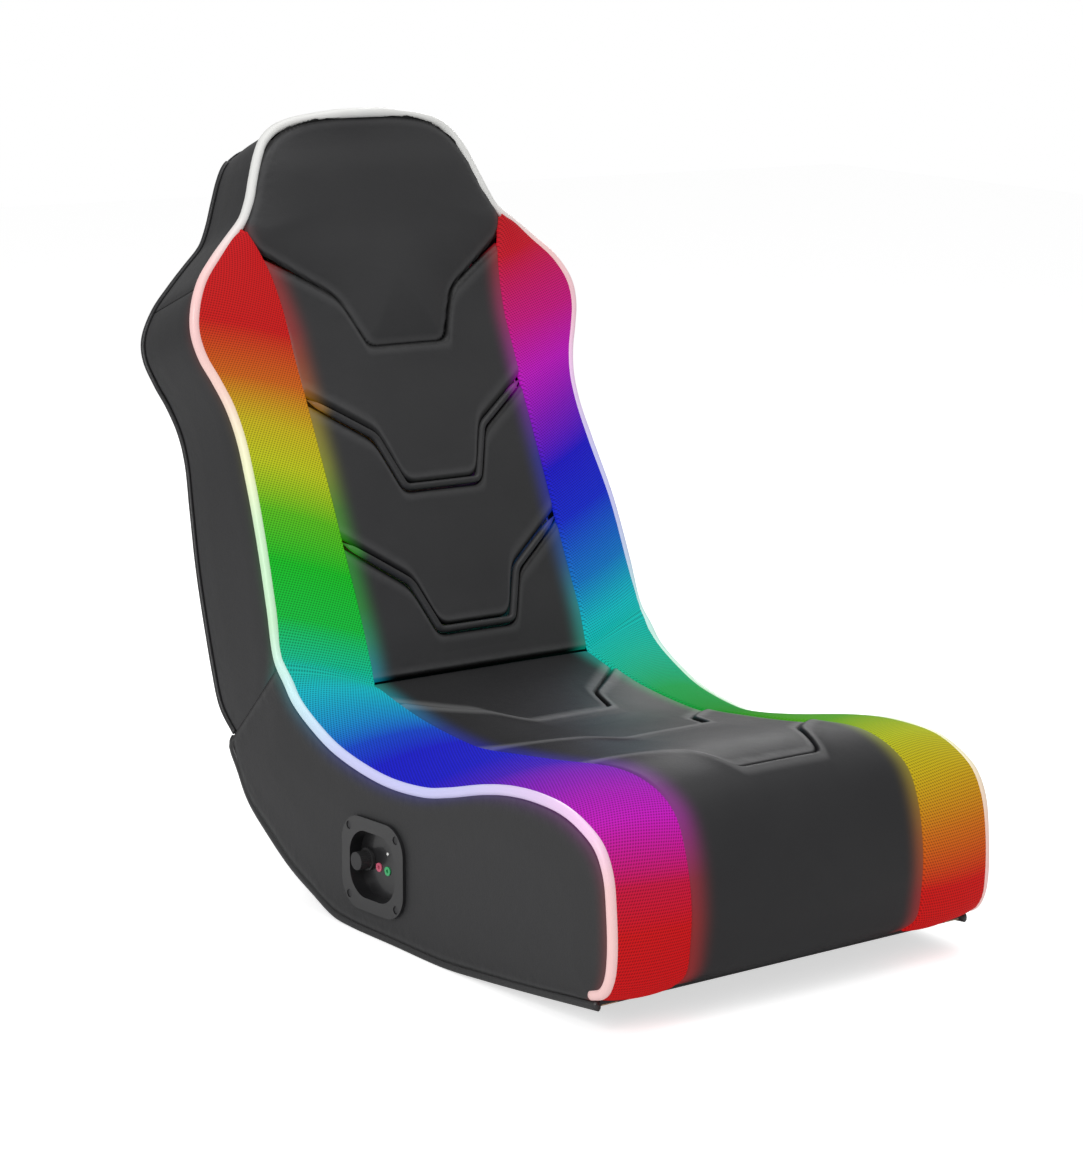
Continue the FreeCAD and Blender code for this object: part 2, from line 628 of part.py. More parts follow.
# Behind the dish: a housing in the runner's window, the board, the sockets and the potentiometer
housing = pad_body("control_housing", "YZ", panel_box(40, 27, 7), dish_floor_x + 2.2, 26)
cut_body(housing, "YZ", panel_box(38, 25, 5), dish_floor_x + 2.2, 24)
board_x = dish_floor_x + 15
pad_body("amplifier_board", "YZ", panel_box(36, 23, 2), board_x, 1.6)
pot = peg(knob_y, knob_z, 8, dish_floor_x + 2.4, board_x - 0.2)
pot = pot.cut(peg(knob_y, knob_z, 3.05, dish_floor_x, board_x - 4))
feature("volume_potentiometer", pot)
jacks = []
for y, z in sockets:
    jack = peg(y, z, 4.4, dish_floor_x - 1, board_x - 0.2).cut(peg(y, z, 1.8, dish_floor_x - 2, board_x - 2))
    jacks.append(jack)
feature("audio_sockets", Part.makeCompound(jacks))
feature("power_lamp", peg(lamp[0], lamp[1], 1.5, dish_floor_x - 0.4, board_x - 0.2))

# Volume knob on its shaft
knob_front = dish_floor_x - 0.4 - size("knob_length")
knob = peg(knob_y, knob_z, size("knob_radius"), knob_front, dish_floor_x - 3.4)
knob = knob.fuse(peg(knob_y, knob_z, size("knob_radius") + 2, dish_floor_x - 3.4, dish_floor_x - 0.4))
for step in range(24):
    angle = math.radians(15 * step)
    groove_y = knob_y + (size("knob_radius") + 0.4) * math.cos(angle)
    groove_z = knob_z + (size("knob_radius") + 0.4) * math.sin(angle)
    knob = knob.cut(peg(groove_y, groove_z, 0.8, knob_front - 1, dish_floor_x - 3.4))
knob = knob.cut(peg(knob_y, knob_z, 3, knob_front + 3, dish_floor_x))
feature("volume_knob", knob)
feature("volume_shaft", peg(knob_y, knob_z, 3, knob_front + 3, board_x - 4.5))

# The chair rests pitched back on its tread, and the origin goes under its middle.
pitched = FreeCAD.Placement(V(0, 0, 0), FreeCAD.Rotation(V(1, 0, 0), -size("rest_pitch")))
for item in parts:
    item.Placement = pitched.multiply(item.Placement)
extent = FreeCAD.BoundBox()
for item in parts:
    extent.add(item.Shape.optimalBoundingBox())
to_floor = FreeCAD.Placement(V(-extent.Center.x, -extent.Center.y, -extent.ZMin), FreeCAD.Rotation())
for item in parts:
    item.Placement = to_floor.multiply(item.Placement)
pivot = to_floor.multVec(pitched.multVec(V(0, pivot_y, pivot_z)))

# Every object must be sound before anything is written.
doc.recompute()
for item in doc.Objects:
    if "Invalid" in item.State or "Error" in item.State:
        raise RuntimeError("failed object: " + item.Label)
for item in parts:
    if item.Shape.isNull() or not item.Shape.isValid():
        raise RuntimeError("unsound shape: " + item.Label)
    item.Shape.exportStep("parts/" + item.Label + ".step")
print(len(parts), "nodes, fold axis at", pivot, "overall", extent.XLength, extent.YLength, extent.ZLength)
print("knob axis", to_floor.multVec(pitched.multVec(V(dish_floor_x, knob_y, knob_z))))
print("control panel middle", to_floor.multVec(pitched.multVec(V(outer_x, panel_y, panel_z))))
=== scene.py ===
import bpy
import bmesh
import math
from mathutils import Matrix, Vector


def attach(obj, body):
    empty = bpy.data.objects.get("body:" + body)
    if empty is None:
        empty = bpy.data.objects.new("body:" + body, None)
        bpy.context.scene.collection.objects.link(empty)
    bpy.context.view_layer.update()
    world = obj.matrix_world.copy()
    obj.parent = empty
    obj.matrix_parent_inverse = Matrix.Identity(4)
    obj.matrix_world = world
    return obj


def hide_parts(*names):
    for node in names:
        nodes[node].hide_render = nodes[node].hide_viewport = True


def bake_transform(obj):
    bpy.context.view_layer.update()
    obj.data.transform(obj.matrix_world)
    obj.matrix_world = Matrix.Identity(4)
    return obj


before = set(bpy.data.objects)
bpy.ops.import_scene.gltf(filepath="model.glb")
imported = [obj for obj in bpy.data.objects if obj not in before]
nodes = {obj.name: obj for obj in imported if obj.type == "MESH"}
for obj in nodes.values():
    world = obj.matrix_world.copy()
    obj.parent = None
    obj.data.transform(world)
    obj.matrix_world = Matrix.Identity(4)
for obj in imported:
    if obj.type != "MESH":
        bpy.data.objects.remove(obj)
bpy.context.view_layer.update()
mm = 0.001

# The chair is drawn level, in millimetres, and rests pitched back on its tread. Its backrest is
# drawn upright, with heights measured from the fold, and then leaned back about the fold.
fold_axis = Vector((0, 127, 246))
at_rest = Matrix.Translation((0, -0.01393, -0.00704)) @ Matrix.Rotation(math.radians(-2), 4, "X")
lean = Matrix.Rotation(math.radians(-21.5), 4, "X")
fold = Matrix.Translation(fold_axis) @ lean
leaned = at_rest @ Matrix.Translation(fold_axis * mm) @ lean


# Camera. A long lens looks from the front, on the sitter's right and a little above the seat,
# and turns with the chair's pitch.
def aimed(place, aim):
    """The matrix of something that stands at a place and points at an aim."""
    place, aim = Vector(place), Vector(aim)
    return Matrix.Translation(place) @ (aim - place).to_track_quat("-Z", "Y").to_matrix().to_4x4()


camera_data = bpy.data.cameras.new("camera")
camera_data.lens = 105.24
camera_data.sensor_width = 36
camera = bpy.data.objects.new("camera", camera_data)
bpy.context.scene.collection.objects.link(camera)
camera.matrix_world = at_rest @ aimed((-2.0469, -2.6059, 0.9405), (0, 0.003, 0.324))
bpy.context.scene.camera = camera
bpy.context.scene.view_settings.view_transform = "Standard"


# Wooden base, steel hinges and foam. Plywood runners, rails and deck are left bare, the bent tube
# and the hinge plates are powder coated, and their pins and bolts are zinc plated. The foam blocks
# are cut to shape and glued to the boards.
class Socket:
    """One output of a shader node, with arithmetic that adds Math nodes."""

    def __init__(self, material, source):
        self.material, self.source = material, source

    def maths(self, operation, *others):
        return self.material.add("ShaderNodeMath", {"operation": operation},
                                 {i: v for i, v in enumerate((self,) + others)})

    def __add__(self, other):
        return self.maths("ADD", other)

    def __radd__(self, other):
        return self.maths("ADD", other)

    def __sub__(self, other):
        return self.maths("SUBTRACT", other)

    def __rsub__(self, other):
        return self.material.add("ShaderNodeMath", {"operation": "SUBTRACT"}, {0: other, 1: self})

    def __mul__(self, other):
        return self.maths("MULTIPLY", other)

    def __rmul__(self, other):
        return self.maths("MULTIPLY", other)

    def __truediv__(self, other):
        return self.maths("DIVIDE", other)


class Finish:
    """A material built on one Principled shader."""

    def __init__(self, name, **plain):
        self.material = bpy.data.materials.new(name)
        self.material.use_nodes = True
        self.tree = self.material.node_tree
        self.shader = self.tree.nodes["Principled BSDF"]
        for key, value in plain.items():
            socket = key.replace("_", " ").title().replace("Ior", "IOR")
            self.shader.inputs[socket].default_value = value

    def add(self, kind, settings=None, values=None, output=0):
        """A node of any kind: its settings come first, a ramp's stops among them, then its sockets."""
        node = self.tree.nodes.new(kind)
        for key, value in (settings or {}).items():
            if key == "stops":
                first, last = node.color_ramp.elements
                first.position, last.position = value[0][0], value[-1][0]
                first.color, last.color = (tuple(value[i][1])[:3] + (1,) for i in (0, -1))
                for place, color in value[1:-1]:
                    node.color_ramp.elements.new(place).color = tuple(color)[:3] + (1,)
            else:
                setattr(node, key, value)
        for key, value in (values or {}).items():
            self.feed(node.inputs[key], value)
        return Socket(self, node.outputs[output])

    def feed(self, socket, value):
        if isinstance(value, Socket):
            self.tree.links.new(value.source, socket)
        else:
            socket.default_value = value

    def set(self, socket, value):
        self.feed(self.shader.inputs[socket], value)

    def place(self):
        return self.add("ShaderNodeTexCoord", output=3)

    def attribute(self, name):
        return self.add("ShaderNodeAttribute", {"attribute_name": name}, output=2)

    def noise(self, scale, detail=2.0, at=None, rough=0.5):
        return self.add("ShaderNodeTexNoise", None, {"Vector": at or self.place(), "Scale": scale,
                                                     "Detail": detail, "Roughness": rough})

    def mix(self, factor, a, b, blend="MIX"):
        return self.add("ShaderNodeMix", {"data_type": "RGBA", "blend_type": blend},
                        {0: factor, 6: a, 7: b}, output=2)

    def smooth(self, value, low, high, to_low=0.0, to_high=1.0):
        return self.add("ShaderNodeMapRange", {"interpolation_type": "SMOOTHSTEP"},
                        {0: value, 1: low, 2: high, 3: to_low, 4: to_high})

    def bump(self, height, distance):
        self.set("Normal", self.add("ShaderNodeBump", None, {"Height": height, "Distance": distance}))


def speckled(name, scale, detail, dark, light, depth=0.0, **plain):
    """A finish that wavers between two colours, in a fine pattern that may also be raised."""
    finish = Finish(name, **plain)
    pattern = finish.noise(scale, detail)
    finish.set("Base Color", finish.mix(pattern, dark + (1,), light + (1,)))
    if depth:
        finish.bump(pattern, depth)
    return finish, pattern


def dress(finish, *names):
    """Gives CAD nodes a finish."""
    for name in names:
        mesh = nodes[name].data
        mesh.materials.clear()
        mesh.materials.append(finish.material)


plywood = Finish("plywood", roughness=0.7)
grain_at = plywood.add("ShaderNodeMapping", None, {"Vector": plywood.place(), "Scale": (40, 3, 90)})
grain = plywood.noise(6, 4, grain_at)
wood_stops = [(0.3, (0.42, 0.28, 0.15)), (0.7, (0.62, 0.46, 0.28))]
plywood.set("Base Color", plywood.add("ShaderNodeValToRGB", {"stops": wood_stops}, {0: grain}))
plywood.bump(grain, 0.0003)
black_steel, _ = speckled("black_steel", 900, 2, (0.02, 0.02, 0.022), (0.035, 0.035, 0.037), 0.0001,
                          roughness=0.5)
zinc_steel, cloud = speckled("zinc_steel", 200, 3, (0.5, 0.5, 0.52), (0.68, 0.68, 0.7), metallic=1.0)
zinc_steel.set("Roughness", zinc_steel.smooth(cloud, 0.3, 0.7, 0.28, 0.42))
foam_cells, _ = speckled("cushion_foam", 1500, 3, (0.72, 0.68, 0.52), (0.88, 0.84, 0.7), 0.0005,
                         roughness=0.9)
dress(plywood, "rocker_runner_left", "rocker_runner_right", "front_board", "middle_rail", "rear_rail",
      "seat_deck", "back_board")
dress(black_steel, "back_frame_tube", "hinge_back_plate_left", "hinge_back_plate_right",
      "hinge_seat_plate_left", "hinge_seat_plate_right")
dress(zinc_steel, "hinge_pins", "hinge_bolts", "volume_shaft")
dress(foam_cells, "seat_foam", "back_foam", "back_rear_foam")


# Closing cloth under the chair. Black woven polyester, pulled tight over the runners' bottom edges
# and round the rear corner, and stapled behind the binding.
def smoothed(points, count):
    """Points spaced evenly along a smooth curve through the given ones."""
    points = [Vector(p) for p in points]
    ends = [points[0] * 2 - points[1]] + points + [points[-1] * 2 - points[-2]]
    fine = []
    for a, b, c, d in zip(ends, ends[1:], ends[2:], ends[3:]):
        t1 = max((b - a).length, 1e-9) ** 0.5
        t2 = t1 + max((c - b).length, 1e-9) ** 0.5
        t3 = t2 + max((d - c).length, 1e-9) ** 0.5
        for step in range(16):
            t = t1 + (t2 - t1) * step / 16
            ab = a.lerp(b, t / t1)
            bc = b.lerp(c, (t - t1) / (t2 - t1))
            cd = c.lerp(d, (t - t2) / (t3 - t2))
            abc = ab.lerp(bc, t / t2)
            bcd = bc.lerp(cd, (t - t1) / (t3 - t1))
            fine.append(abc.lerp(bcd, (t - t1) / (t2 - t1)))
    fine.append(points[-1])
    lengths = travelled(fine)
    even, k = [], 0
    for i in range(count):
        want = lengths[-1] * i / (count - 1)
        while k < len(fine) - 2 and lengths[k + 1] < want:
            k += 1
        span = max(lengths[k + 1] - lengths[k], 1e-9)
        even.append(fine[k].lerp(fine[k + 1], min((want - lengths[k]) / span, 1)))
    return even


def travelled(line):
    """How far along a line each of its points is."""
    lengths = [0.0]
    for a, b in zip(line, line[1:]):
        lengths.append(lengths[-1] + (b - a).length)
    return lengths


def side_view(count, *pairs):
    """A smooth curve in the chair's side view, through pairs of depth and height."""
    return smoothed([(0, y, z) for y, z in pairs], count)


def along(curve, t):
    """The point at t, 0 to 1, of an evenly spaced curve."""
    place = min(max(t, 0), 1) * (len(curve) - 1)
    k = min(int(place), len(curve) - 2)
    return curve[k].lerp(curve[k + 1], place - k)


def cloth(across, down, put, layers=()):
    """A sheet made from a grid: put(a, b) gives a point, and the values of the named layers."""
    bm = bmesh.new()
    bmesh.ops.create_grid(bm, x_segments=across, y_segments=down, size=0.5)
    stores = [bm.verts.layers.float.new(layer) for layer in layers]
    for vertex in bm.verts:
        point, *values = put(vertex.co.x + 0.5, vertex.co.y + 0.5)
        vertex.co = Vector(point)
        for store, value in zip(stores, values):
            vertex[store] = value
    return bm


def finished(name, bm, finish, body, replaces, thickness=0.0, rounds=0, to=at_rest):
    """Makes a piece of a bmesh drawn in millimetres: placed, smooth, with its finish and its body."""
    bmesh.ops.transform(bm, matrix=to @ Matrix.Scale(mm, 4), verts=bm.verts)
    mesh = bpy.data.meshes.new(name)
    bm.to_mesh(mesh)
    bm.free()
    mesh.shade_smooth()
    mesh.materials.append(finish.material)
    piece = bpy.data.objects.new(name, mesh)
    bpy.context.scene.collection.objects.link(piece)
    if thickness:
        wall = piece.modifiers.new("wall", "SOLIDIFY")
        wall.thickness = thickness * mm
        wall.offset = -1
        wall.use_quality_normals = True
    if rounds:
        fair = piece.modifiers.new("fair", "SUBSURF")
        fair.levels = rounds
        fair.render_levels = rounds
    if body:
        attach(piece, body)
    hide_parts(*replaces)
    return piece


black_cloth = Finish("black_cloth", roughness=0.85)
threads = black_cloth.noise(700, 3, rough=0.7)
slack = black_cloth.noise(14, 3)
black_cloth.set("Base Color", black_cloth.mix(threads, (0.01, 0.01, 0.011, 1), (0.036, 0.036, 0.038, 1)))
black_cloth.bump(threads * 0.3 + slack * 6.0, 0.0004)
cloth_width = 456
bottom_line = side_view(90, (205, 166.5), (213, 163), (219.5, 159.5), (224, 150), (205, 121), (186, 94),
                        (150, 66), (112, 42.5), (75, 25.5), (40, 10.5), (10, 7.6), (-60, 5.2), (-140, 2.6),
                        (-200, 6), (-280, 12.2), (-358, 18.4), (-367, 20.5), (-369, 24), (-368, 31))
under = cloth(24, 80,
              lambda a, b: (along(bottom_line, b) + Vector(((a - 0.5) * cloth_width, 0, 0)),))
bottom_cloth = finished("bottom_cover_cloth", under, black_cloth, "seat", ["bottom_cover"],
                        thickness=1.5, rounds=1)
dress(black_cloth, "seat_rear_cover", "back_foot_cover")

# Black cover panels. Smooth coated fabric with a fine pebble grain, cut to shape, padded, and sewn
# so that each panel's edge rolls under into its seam. Painted shade darkens the seams and a painted
# highlight lies along the rolled edges. Where a cover runs beside a light strip, the strip's light is
# painted on it as a coloured glow.

# Places along a strip are 0 at the shoulder, 1 at the fold and 2 at the front bottom edge.
right_colors = [(0.0, (205, 18, 22)), (0.24, (203, 22, 16)), (0.36, (205, 100, 15)), (0.47, (200, 180, 18)),
                (0.56, (188, 198, 18)), (0.67, (90, 190, 15)), (0.78, (15, 190, 30)), (0.9, (12, 190, 60)),
                (0.98, (10, 190, 140)), (1.04, (12, 185, 200)), (1.12, (12, 140, 205)), (1.18, (12, 70, 205)),
                (1.25, (15, 20, 205)), (1.37, (18, 16, 205)), (1.5, (70, 15, 195)), (1.64, (150, 15, 190)),
                (1.74, (200, 16, 190)), (1.83, (200, 12, 60)), (1.89, (205, 10, 15)), (2.0, (200, 8, 8))]
left_colors = [(0.0, (190, 18, 25)), (0.1, (200, 18, 40)), (0.26, (200, 18, 130)), (0.38, (190, 16, 190)),
               (0.49, (130, 14, 190)), (0.6, (25, 15, 200)), (0.72, (14, 40, 205)), (0.86, (12, 120, 200)),
               (0.96, (10, 190, 195)), (1.06, (8, 190, 160)), (1.18, (10, 170, 80)), (1.34, (14, 150, 20)),
               (1.56, (90, 170, 15)), (1.68, (185, 195, 16)), (1.75, (200, 175, 14)), (1.84, (205, 110, 14)),
               (1.92, (203, 20, 14)), (2.0, (200, 12, 12))]
shoulder_height = 441


def rgb(*seen):
    """A colour as it is seen on screen, 0 to 255, made linear."""
    return tuple(((c / 255 + 0.055) / 1.055) ** 2.4 if c > 10 else c / 3295 for c in seen) + (1.0,)


def rainbow(finish, place, colors):
    """The colours of one strip, by the place along it."""
    stops = [(p / 2, rgb(*color)) for p, color in colors]
    return finish.add("ShaderNodeValToRGB", {"stops": stops}, {0: place / 2.0})


def nearby_color(finish, place):
    """The colour of the strip that is on the same side of the chair."""
    east = finish.add("ShaderNodeSeparateXYZ", None, {0: finish.place()}, output=0)
    on_left = finish.smooth(east, -0.001, 0.001)
    return finish.mix(on_left, rainbow(finish, place, right_colors), rainbow(finish, place, left_colors))


def cover_finish(name, glow, sheen, reach=0.012, shine=0.3, shade=(1.0, 1.0)):
    """Coated fabric. Painted shade darkens its seams and a painted highlight lies within reach of a seam.
    Painted shade and light run from rear to front, and the nearby strip's light is painted on as a glow.
    """
    finish = Finish(name, roughness=0.45, specular_ior_level=shine, emission_strength=glow)
    at = finish.place()
    pebble = finish.add("ShaderNodeTexVoronoi", {"feature": "SMOOTH_F1"},
                        {"Vector": at, "Scale": 900, "Smoothness": 0.6})
    wrinkle = finish.noise(38, 4, at, 0.6)
    tone = finish.noise(9, 3, at)
    seam = finish.attribute("to_seam")
    # Painted shade in the seam grooves: the colour darkens within a few millimetres of a seam.
    painted_seam_shade = finish.mix(finish.smooth(seam, 0.0012, 0.005), (0.16, 0.16, 0.16, 1), (1, 1, 1, 1))
    place = finish.attribute("along_strip")
    leather = finish.mix(tone, (0.024, 0.024, 0.0255, 1), (0.034, 0.034, 0.035, 1))
    # Painted shade and light: the colour is scaled along the strip, by shade at the rear and at the front.
    leather = finish.mix(1.0, leather, finish.smooth(place, 1.4, 1.7, *shade), "MULTIPLY")
    # Painted highlight along the rolled edges: the colour is lightened from a few millimetres off a seam out
    # to reach.
    painted_highlight = finish.smooth(seam, 0.0025, 0.005) * finish.smooth(seam, reach * 0.4, reach, 1.0, 0.0)
    leather = finish.mix(painted_highlight * sheen, leather, (0.12, 0.12, 0.122, 1))
    finish.set("Base Color", finish.mix(1.0, leather, painted_seam_shade, "MULTIPLY"))
    finish.set("Roughness", finish.smooth(pebble * 0.5 + tone, 0.3, 1.0, 0.4, 0.52))
    pucker = finish.noise(75, 2, at) * finish.smooth(seam, 0.002, 0.03, 1.0, 0.0)
    finish.bump(pebble * 0.25 + wrinkle * 1.2 + pucker * 4.0, 0.00028)
    # Painted glow: the nearby strip's light is painted on the cover as emission, fading away from the strip
    # and off above the shoulders.
    near = finish.smooth(finish.attribute("to_strip"), 0.0, 0.034, 1.0, 0.0)
    below_shoulder = finish.smooth(place, -0.08, 0.06)
    finish.set("Emission Color", finish.mix(near * near * below_shoulder, (0, 0, 0, 1),
                                            nearby_color(finish, place)))
    return finish


black_cover = cover_finish("black_cover", glow=0.34, sheen=0.2)
# The seat covers carry painted shade near the fold and painted light towards the front.
seat_cover = cover_finish("seat_cover", glow=0.34, sheen=0.75, reach=0.016, shine=0.08, shade=(0.75, 1.3))
side_cover = cover_finish("side_cover", glow=0.16, sheen=0.12)
cover_layers = ("along_strip", "to_strip", "to_seam")

# Side covers of the seat. One flat panel of coated fabric a side, sewn to the light piping along
# its top and held by the binding at the bottom, padded a little so that its middle stands proud.
seat_edge = [(127, 250), (113, 234), (98, 217), (60, 194), (24, 179.5), (-49, 166), (-113, 167), (-150, 174),
             (-206, 188), (-245, 194.5), (-285, 196), (-323, 192), (-351, 182), (-372, 168), (-384, 146),
             (-389, 112), (-390, 72), (-386, 50), (-377, 37), (-362, 32)]
side_top = side_view(200, *seat_edge)
side_low = side_view(200, (214, 159.5), (201.5, 129), (188, 106), (150, 79), (112, 53), (75, 35), (40, 20.5),
                     (10, 16), (-60, 13), (-140, 10.5), (-200, 13.5), (-280, 19), (-330, 24.5), (-360, 27.5))
side_face, side_length = 229, 700
side_swell, side_reach, side_roll = 3.0, 60, 2.5
piping_gap, piping_width = 4.5, 4
control_y, control_z = -37.5, 80
opening_half_y, opening_half_z = 41, 36


def eased(t, edge=0.06, share=0.25):
    """Spreads grid lines so that a share of them lies near each end."""
    if t < share:
        return edge * t / share
    if t > 1 - share:
        return 1 - edge * (1 - t) / share
    return edge + (1 - 2 * edge) * (t - share) / (1 - 2 * share)


def rolled(distance, radius):
    """How far a padded panel has dropped at a distance from its seam."""
    if distance >= radius:
        return 0.0
    return radius - math.sqrt(max(radius * radius - (radius - distance) ** 2, 0))


def side_panel(sign):
    def put(a, b):
        a, b = eased(a, 0.03, 0.12), eased(b, 0.05, 0.2)
        top, low = along(side_top, a), along(side_low, a)
        way = low - top
        point = (top + way.normalized() * piping_gap).lerp(low, b)
        seam = min(min(b, 1 - b) * way.length, min(a, 1 - a) * side_length)
        out = side_face + side_swell * min(1, seam / side_reach) ** 0.6 - rolled(seam, side_roll)
        return Vector((sign * out, point.y, point.z)), 1 + a, (b * way.length + piping_width) * mm, seam * mm
    bm = cloth(150, 60, put, cover_layers)
    if sign > 0:
        bmesh.ops.reverse_faces(bm, faces=bm.faces)
    else:
        under_bezel = [v for v in bm.verts if ((v.co.y - control_y) / opening_half_y) ** 4
                       + ((v.co.z - control_z) / opening_half_z) ** 4 < 1]
        bmesh.ops.delete(bm, geom=under_bezel, context="VERTS")
    return bm


for side, sign, area in (("left", 1, 0.096), ("right", -1, 0.09)):
    panel = finished("seat_side_cover_" + side, side_panel(sign), side_cover, "seat",
                     ["seat_side_" + side], thickness=1.6)

# Light strips under their mesh. Open spacer mesh is stretched from the seam of the middle panels to
# the piping, over a sleeve of coloured lamps. It runs on over the fold, with one join in the crease.
outer_back = smoothed([(163, -3, 441), (178, -4, 436), (200, -3, 417), (222, -4, 394), (235, -3, 368),
                       (238.5, 2, 345), (233, 6.5, 320), (224, 7, 296), (216, 5.5, 268), (213, 3, 236),
                       (215, 0, 196), (221, -5, 128), (225, -3, 60), (228.5, 0, 5)], 150)
inner_back = smoothed([(161, -7, 441), (155, -10, 423), (146, -9.5, 396), (140, -8.5, 360), (138, -7.5, 320),
                       (137.5, -9.5, 275), (137.5, -12, 221), (137.5, -15, 160), (137.5, -17, 96),
                       (137.5, -19, 30), (137.5, -18, -29)], 150)
outer_seat = smoothed([(227, 122, 244), (226, 98, 219), (226.5, 59, 195), (227, 24, 180), (227, -49, 167),
                       (227, -113, 168), (228, -150, 174.5), (229, -206, 188), (230, -245, 194.5),
                       (230, -285, 196), (230.5, -323, 192.5), (231, -351, 182), (231, -372, 168),
                       (231, -384, 146), (231, -389.5, 112), (231, -390.5, 72), (231, -387, 50),
                       (231, -378, 37), (229, -364, 31)], 150)
inner_seat = smoothed([(138, 103, 221), (138, 60, 209), (138.5, 13, 198.5), (139, -52, 190),
                       (139.5, -84, 188.5), (140, -147, 194), (140.5, -207, 200), (141, -266, 207),
                       (141.5, -294, 208.5), (142, -323, 206), (142, -351, 197), (142.5, -371, 182),
                       (143, -385, 150), (143.5, -393, 108), (143.5, -392, 72), (143, -386, 42),
                       (142, -368, 27)], 150)
back_run, seat_run = 500, 640
fold_reach = 0.07
crease_scale, crease_half = 420, 12
mesh_swell, mesh_roll = 5.0, 2.5
crease_drop, crease_rise = 2.2, 1.5


def strip_point(across, down):
    """A point of the left strip: across is 0 at the middle panels and 1 at the piping."""
    if down <= 1:
        inner, outer = fold @ along(inner_back, down), fold @ along(outer_back, down)
    else:
        inner, outer = along(inner_seat, down - 1), along(outer_seat, down - 1)
    if 1 - fold_reach < down < 1:
        blend = (down - 1 + fold_reach) / (2 * fold_reach)
        outer = outer.lerp(outer_seat[0], blend * 0.6)
    return inner.lerp(outer, across)


def mesh_strip(sign):
    def put(a, b):
        across, down = eased(a, 0.04, 0.15), 2 * b
        way = strip_point(across, min(down + 0.02, 2)) - strip_point(across, max(down - 0.02, 0))
        width = strip_point(1, down) - strip_point(0, down)
        normal = way.cross(width).normalized()
        in_crease = 1 - min(abs(down - 1.0) * crease_scale, crease_half) / crease_half
        swell = mesh_swell * math.sin(math.pi * across) ** 0.7
        swell -= rolled(across * width.length, mesh_roll) * 0.9
        dip = in_crease * (1 - across) ** 1.5
        rise = swell * (1 - 0.6 * dip) - crease_drop * dip + crease_rise * in_crease * across
        point = strip_point(across, down) + normal * rise
        run = down * back_run if down < 1 else back_run + (down - 1) * seat_run
        return Vector((sign * point.x, point.y, point.z)), down, across * width.length * mm, run * mm
    bm = cloth(26, 220, put, ("along_strip", "across_m", "down_m"))
    if sign < 0:
        bmesh.ops.reverse_faces(bm, faces=bm.faces)
    return bm


def mesh_finish(name, colors):
    """Lit mesh: slanting rows of small holes, from two waves that cross."""
    finish = Finish(name, roughness=0.8, specular_ior_level=0.08, emission_strength=0.84)
    across, down = finish.attribute("across_m"), finish.attribute("down_m")
    first = (across * 1150 + down * 620).maths("SINE")
    second = (across * 1150 - down * 1750).maths("SINE")
    hole = finish.smooth(first * second, -0.1, 0.6)
    shade = finish.mix(hole, (1, 1, 1, 1), (0.5, 0.5, 0.5, 1))
    color = rainbow(finish, finish.attribute("along_strip"), colors)
    lit = finish.mix(1.0, color, shade, "MULTIPLY")
    finish.set("Base Color", finish.mix(0.86, lit, (0.01, 0.01, 0.012, 1)))
    finish.set("Emission Color", lit)
    finish.bump(1 - hole, 0.0007)
    return finish


for side, sign, colors in (("left", 1, left_colors), ("right", -1, right_colors)):
    strip = finished("light_mesh_" + side, mesh_strip(sign), mesh_finish("light_mesh_" + side, colors),
                     None, ["seat_mesh_" + side, "back_mesh_" + side, "seat_light_strips"],
                     thickness=2.5)
    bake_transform(strip)

# White piping. A translucent cord, sewn in along the edge of the seat and the back. The coloured light
# of the strip beside it is painted on the cord, as a tint and a glow, and round the head it stays white
# with a faint painted glow.
back_edge = [(229, 0, 8), (226, -3, 60), (221.5, -5, 128), (216, -1, 190), (213.5, 3, 236), (216.5, 5.5, 268),
             (224.5, 7, 296), (234, 6.5, 320), (239.5, 2, 345), (236.5, -3, 368), (223, -4, 394),
             (201, -3, 417), (179, -4, 437), (163, -4, 451), (157, -5, 458), (148, -8, 475), (138, -10, 499),
             (128.5, -12, 520), (118.5, -13, 535), (104, -15, 546), (84, -17, 552.5), (60, -20, 555.5),
             (28, -26, 557), (0, -27.5, 557)]
piping_x, piping_radius = 229.5, 5.0
head_height = 560
piping_half = smoothed([(piping_x, y, z) for y, z in seat_edge[:0:-1]]
                       + [tuple(fold @ Vector(p)) for p in back_edge], 420)


def swept(path, radius_a, radius_b, segments, lift=None, layers=None):
    """A closed cord or flat strip along a path. radius_b is along the lift direction."""
    layers = layers or {}
    bm = bmesh.new()
    turn = bm.verts.layers.float.new("turn")
    stores = {key: bm.verts.layers.float.new(key) for key in layers}
    ring = bmesh.ops.create_circle(bm, segments=segments, radius=1)["verts"]
    for vertex in ring:
        vertex[turn] = math.atan2(vertex.co.y, vertex.co.x)
    edges = list(bm.edges)
    up = lift or Vector((1, 0.3, 0.2))
    for i, point in enumerate(path):
        if i:
            made = bmesh.ops.extrude_edge_only(bm, edges=edges)["geom"]
            ring = [g for g in made if isinstance(g, bmesh.types.BMVert)]
            edges = [g for g in made if isinstance(g, bmesh.types.BMEdge)]
        way = (path[min(i + 1, len(path) - 1)] - path[max(i - 1, 0)]).normalized()
        side_way = way.cross(up).normalized()
        up = side_way.cross(way).normalized()
        for vertex in ring:
            angle = vertex[turn]
            vertex.co = point + side_way * radius_a * math.cos(angle) + up * radius_b * math.sin(angle)
            for key, values in layers.items():
                vertex[stores[key]] = values[i]
    bmesh.ops.holes_fill(bm, edges=bm.edges, sides=segments)
    bmesh.ops.recalc_face_normals(bm, faces=bm.faces)
    return bm


def whole_path(half):
    """A path over the chair from its half, which ends in the middle."""
    return half + [Vector((-p.x, p.y, p.z)) for p in half[-2::-1]]


